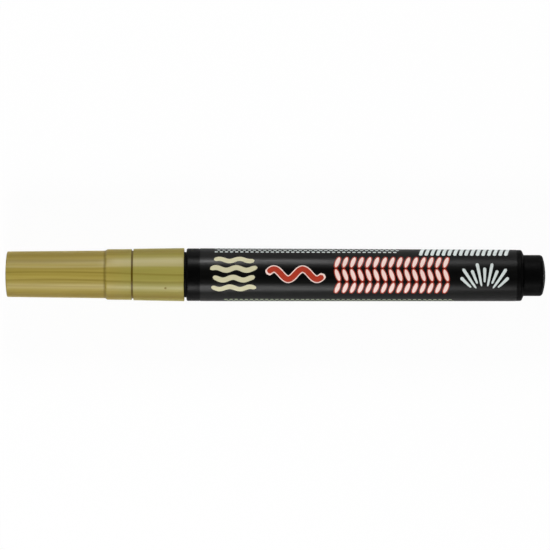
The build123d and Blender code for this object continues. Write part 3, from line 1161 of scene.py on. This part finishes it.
    def dabs(self) -> None:
        """Rows of slanting blush-white dabs with a red edge, which lean to and fro as in a herringbone."""
        swell = self.dab_slim + (1 - self.dab_slim) * np.sin(np.linspace(0, pi, self.stroke_points))
        prints = ((Ink.RED, self.dab_edge, Layer.UNDER), (Ink.BLUSH, 0.0, Layer.OVER))
        for low, high, lean in self.dab_rows:
            for u in np.linspace(*self.dab_span, self.dab_count):
                bottom, top = np.array([u - lean / 2, low]), np.array([u + lean / 2, high])
                way = (top - bottom) / np.linalg.norm(top - bottom)
                for ink, edge, layer in prints:
                    path = np.linspace(bottom - edge * way, top + edge * way, self.stroke_points)
                    self.draw(ink, path, self.dab_brush, layer, swell, edge)

    def fan(self) -> None:
        """White rays of two lengths that spread from one point and widen outwards."""
        taper = np.linspace(*self.fan_taper, self.stroke_points)
        for number, angle in enumerate(np.radians(np.linspace(*self.fan_turn, self.fan_count))):
            way = np.array([cos(angle), sin(angle)])
            inner, outer = self.fan_rays[number % 2]
            path = np.linspace(self.fan_root + inner * way, self.fan_root + outer * way, self.stroke_points)
            self.draw(Ink.WHITE, path, self.fan_brush, swell=taper)

    def bars(self) -> None:
        """Row of slanting white bars over the upper edge."""
        low, high = self.bar_arcs
        for u in np.linspace(*self.bar_span, self.bar_count):
            path = np.linspace((u, low), (u + self.bar_lean, high), self.stroke_points)
            self.draw(Ink.WHITE, path, self.bar_brush)

    def weave(self) -> None:
        """Bands of even dashes, each row set half a step on: white above, pale green along the lower edge."""
        for ink, first, last, arc, rows in self.weaves:
            for row in range(abs(rows)):
                v = arc + np.sign(rows) * self.dash_rise * row
                start = first + self.dash_step / 2 * (row % 2)
                for u in np.arange(start, last - self.dash, self.dash_step):
                    path = np.linspace((u, v), (u + self.dash, v), self.dash_points)
                    self.draw(ink, path, self.dash_brush)

    def build(self) -> None:
        """Builds the film, draws the pattern and makes one piece of each ink."""
        self.film()
        for draw in (self.comb, self.ribbon, self.dabs, self.fan, self.bars, self.weave):
            draw()
        for ink, parts in self.strokes.items():
            name = f"label_print_{ink.name.lower()}"
            Surface.joined(parts).piece(name, Body.BARREL, Slot.LABEL, ink.value)


@dataclass
class Tip:
    """Writing end under the cap: the holder, the ferrule on its nose and the fibre nib in it."""

    nose_round: float = 0.50
    tube_radius: float = 4.30
    flare_length: float = 4.0
    flare_radius: float = 5.20
    flare_points: int = 13
    foot_thickness: float = 1.2
    foot_radius: float = 5.70
    stem_radius: float = 4.88
    pocket_radius: float = 3.90
    chamber_radius: float = 2.60
    shank_bore: float = 2.02
    shank_radius: float = 2.00
    cone_length: float = 2.3
    cone_radius: float = 2.25
    cone_blend: float = 0.6
    ferrule_radius: float = 1.25
    lip_round: float = 0.12
    nib_bore: float = 1.00
    nib_radius: float = 0.95
    nib_point: float = 1.1
    nib_flat: float = 0.25
    nib_points: int = 15
    edge_round: float = 0.08

    def __post_init__(self) -> None:
        """Works out the ends."""
        self.nose, self.stem_rear = ends("front_section")
        self.foot_rear, _ = ends("barrel")
        self.pocket_front, _ = ends("valve_body")
        self.ferrule_front, self.shank_rear = ends("ferrule")
        self.nib_tip, self.nib_rear = ends("nib")

    def holder(self) -> None:
        """Tip holder; its flare is the arc r = r0 + q - sqrt(q^2 - x^2), which leaves the tube straight."""
        foot_front = self.foot_rear - self.foot_thickness
        rise = self.flare_radius - self.tube_radius
        arc = (self.flare_length**2 + rise**2) / (2 * rise)
        x = np.linspace(0, self.flare_length, self.flare_points)
        r = self.tube_radius + arc - np.sqrt(arc**2 - x**2)
        flare = zip((foot_front - self.flare_length + x).tolist(), r.tolist())
        edge = self.edge_round
        corners = [
            (self.nose, self.shank_bore),
            (self.nose, self.tube_radius, self.nose_round),
            *flare,
            (foot_front, self.foot_radius, edge),
            (self.foot_rear, self.foot_radius, edge),
            (self.foot_rear, self.stem_radius),
            (self.stem_rear, self.stem_radius, edge),
            (self.stem_rear, self.pocket_radius, edge),
            (self.pocket_front, self.pocket_radius),
            (self.pocket_front, self.chamber_radius),
            (self.shank_rear, self.chamber_radius),
            (self.shank_rear, self.shank_bore),
        ]
        surface = turned(corners, closed=True)
        surface.piece("tip_holder", Body.BARREL, Slot.CREAM, HOLDER_CREAM, "front_section")

    def ferrule(self) -> None:
        """Plated ferrule: thin tube, cone and shank."""
        edge = self.edge_round
        corners = [
            (self.ferrule_front, self.nib_bore),
            (self.ferrule_front, self.ferrule_radius, self.lip_round),
            (self.nose - self.cone_length, self.ferrule_radius, self.cone_blend),
            (self.nose, self.cone_radius, edge),
            (self.nose, self.shank_radius),
            (self.shank_rear, self.shank_radius, edge),
            (self.shank_rear, self.nib_bore, edge),
        ]
        surface = turned(corners, closed=True)
        surface.piece("tip_ferrule", Body.BARREL, Slot.PLATED, FERRULE_NICKEL, "ferrule")

    def nib(self) -> None:
        """Fibre rod whose point is the arc r = r0 - q + sqrt(q^2 - x^2), down to a small flat."""
        drop = self.nib_radius - self.nib_flat
        arc = (self.nib_point**2 + drop**2) / (2 * drop)
        x = np.linspace(self.nib_point, 0, self.nib_points)
        r = self.nib_radius - arc + np.sqrt(arc**2 - x**2)
        point = zip((self.nib_tip + self.nib_point - x).tolist(), r.tolist())
        rear = [(self.nib_rear, self.nib_radius, self.edge_round), (self.nib_rear, 0.0)]
        surface = turned([(self.nib_tip, 0.0), *point, *rear])
        surface.piece("fibre_nib", Body.NIB, Slot.FIBRE, BondedFibre(), "nib")

    def build(self) -> None:
        """Builds and dresses the tip's pieces."""
        self.holder()
        self.ferrule()
        self.nib()


@dataclass
class Valve:
    """Pump valve behind the tip: its spring is wound here, and its turned pieces and the ball stay solids."""

    turns: int = 4
    mean_radius: float = 1.8
    wire_radius: float = 0.2
    touch_gap: float = 0.05         # between the spring and the plunger's flange
    points_per_turn: int = 48
    points_round_wire: int = 20

    def spring(self) -> None:
        """Round wire wound on a helix at one length; the real spring shortens as the nib is pressed.

        The wire's middle is at (x, R cos w, R sin w) with x and w growing evenly. Round it lie the points
        q (cos f n + sin f b), with n away from the axis and b across the wire. Each end is closed by a pole.
        """
        front, rear = ends("valve_spring")
        share = np.linspace(0, 1, self.points_per_turn * self.turns + 1)
        x = front + self.wire_radius + (rear - front - 2 * self.wire_radius) * share
        w = 2 * pi * self.turns * share
        out = np.stack([0 * w, np.cos(w), np.sin(w)], axis=-1)
        middle = np.stack([x, 0 * w, 0 * w + AXIS], axis=-1) + self.mean_radius * out
        way = np.gradient(middle, axis=0)
        way /= np.linalg.norm(way, axis=1, keepdims=True)
        across = np.cross(way, out)
        f = np.linspace(2 * pi, 0, self.points_round_wire, endpoint=False)[None, :, None]
        grid = middle[:, None] + self.wire_radius * (np.cos(f) * out[:, None] + np.sin(f) * across[:, None])
        wire = capped(grid, middle[[0, -1]])
        made = wire.piece("valve_coil", Body.BARREL, Slot.SPRING, SPRING_STEEL, "valve_spring")
        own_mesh(made)

    def build(self) -> None:
        """Winds the spring and dresses the solids that stay."""
        self.spring()
        finishes = {
            "valve_body": VALVE_WHITE,
            "valve_plunger": VALVE_WHITE,
            "valve_retainer": VALVE_WHITE,
            "mixing_ball": BALL_STEEL,
        }
        for name, finish in finishes.items():
            materials = frame["nodes"][name].data.materials
            materials.clear()
            materials.append(finish.material())
            log.info("%s: CAD solid in %s", name, finish.name)


# Studio


@dataclass(frozen=True)
class Softbox:
    """Rectangular lamp that points at the marker's axis."""

    azimuth: float      # direction of the lamp from +X towards +Y, in degrees
    lean: float         # its angle from straight up, in degrees
    distance: float     # its distance from the axis
    aim: float          # station on the axis that it points at
    size: Pair          # its size level with the floor, and across that
    power: float        # in watts

    def build(self, name: str) -> None:
        """Makes the lamp.

        Args:
            name: Name of the new object.
        """
        lamp = bpy.data.lights.new(name, "AREA")
        lamp.shape = "RECTANGLE"
        lamp.size, lamp.size_y = (size * MM for size in self.size)
        lamp.energy = self.power
        turn, lean = radians(self.azimuth), radians(self.lean)
        way = Vector((sin(lean) * cos(turn), sin(lean) * sin(turn), cos(lean)))
        made = bpy.data.objects.new(name, lamp)
        made.location = (Vector((self.aim, 0, AXIS)) + way * self.distance) * MM
        made.rotation_euler = way.to_track_quat("Z", "Y").to_euler()
        bpy.context.scene.collection.objects.link(made)


LAMPS = {
    "softbox_left": Softbox(azimuth=90, lean=60.5, distance=450, aim=-25, size=(135, 100), power=1.32),
    "softbox_right": Softbox(azimuth=-90, lean=60.5, distance=450, aim=-48, size=(145, 100), power=1.55),
    "fill_cap_end": Softbox(azimuth=180, lean=40, distance=750, aim=0, size=(350, 350), power=0.9),
    "fill_tail_end": Softbox(azimuth=0, lean=40, distance=750, aim=0, size=(350, 350), power=0.9),
}


@dataclass
class Studio:
    """White floor, softboxes beside the marker and at its ends, a pale horizon and a camera above."""

    floor_half: float = 15000
    floor_white: str = "#f4f4f4"
    floor_glow: float = 0.95        # share of the floor that shows as plain white; the rest takes the shadow
    camera_height: float = 1070     # over the marker's axis
    view_width: float = 140.65      # width of the picture at the marker's axis
    view_middle: Pair = (-0.10, -0.032)
    view_roll: float = 0.145        # degrees
    view_reach: Pair = (10, 100000)
    film_width: float = 36.0
    zenith: float = 0.03
    horizon: float = 0.45
    horizon_band: Pair = (0.14, 0.64)   # heights of unit directions where the sky darkens

    def floor(self) -> None:
        """Large flat floor at Z = 0, which the camera sees close to plain white."""
        half = self.floor_half * MM
        corners = [(-half, -half, 0), (half, -half, 0), (half, half, 0), (-half, half, 0)]
        mesh = bpy.data.meshes.new("studio_floor")
        mesh.from_pydata(corners, [], [(0, 1, 2, 3)])
        made = bpy.data.objects.new("studio_floor", mesh)
        bpy.context.scene.collection.objects.link(made)
        paper = bpy.data.materials.new("white_background_paper")
        paper.use_nodes = True
        tree = paper.node_tree
        tree.nodes.clear()
        seen = add_node(tree, Kind.LIGHT_PATH)["Is Camera Ray"]
        share = add_node(tree, Kind.MATHS, (seen, self.floor_glow), operation="MULTIPLY")[0]
        matt = add_node(tree, Kind.DIFFUSE, {"Color": linear(self.floor_white)})[0]
        glow = add_node(tree, Kind.EMISSION, {"Strength": 1.0})[0]
        mixed = add_node(tree, Kind.MIX_SHADER, (share, matt, glow))[0]
        add_node(tree, Kind.MATERIAL, {"Surface": mixed})
        mesh.materials.append(paper)

    def sky(self) -> None:
        """World that is pale at the horizon and dark overhead."""
        world = bpy.data.worlds.new("studio_sky")
        world.use_nodes = True
        tree = world.node_tree
        tree.nodes.clear()
        way = add_node(tree, Kind.COORDINATES)["Generated"]
        height = add_node(tree, Kind.SEPARATE, (way,))["Z"]
        fall = (height, *self.horizon_band, self.horizon, self.zenith)
        level = add_node(tree, Kind.RANGE, fall, **SMOOTH)[0]
        glow = add_node(tree, Kind.BACKGROUND, {"Strength": level})[0]
        add_node(tree, Kind.WORLD, {"Surface": glow})
        bpy.context.scene.world = world

    def camera(self) -> None:
        """Camera that looks straight down on the marker."""
        lens = bpy.data.cameras.new("camera")
        lens.sensor_width = self.film_width
        lens.lens = self.film_width * self.camera_height / self.view_width
        lens.clip_start, lens.clip_end = (reach * MM for reach in self.view_reach)
        made = bpy.data.objects.new("camera", lens)
        made.location = Vector((*self.view_middle, AXIS + self.camera_height)) * MM
        made.rotation_euler = (0, 0, radians(self.view_roll))
        bpy.context.scene.collection.objects.link(made)
        bpy.context.scene.camera = made

    def build(self) -> None:
        """Sets up the floor, the light and the camera."""
        self.floor()
        self.sky()
        for name, lamp in LAMPS.items():
            lamp.build(name)
        self.camera()
        bpy.context.scene.view_settings.view_transform = "Standard"


def main() -> None:
    """Builds the marker and the studio."""
    logging.basicConfig(level=logging.INFO, format="%(name)s: %(message)s")
    barrel = Barrel()
    for part in (Cap(), barrel, Label(barrel), Tip(), Valve(), Studio()):
        part.build()


if __name__ == "__main__":
    main()
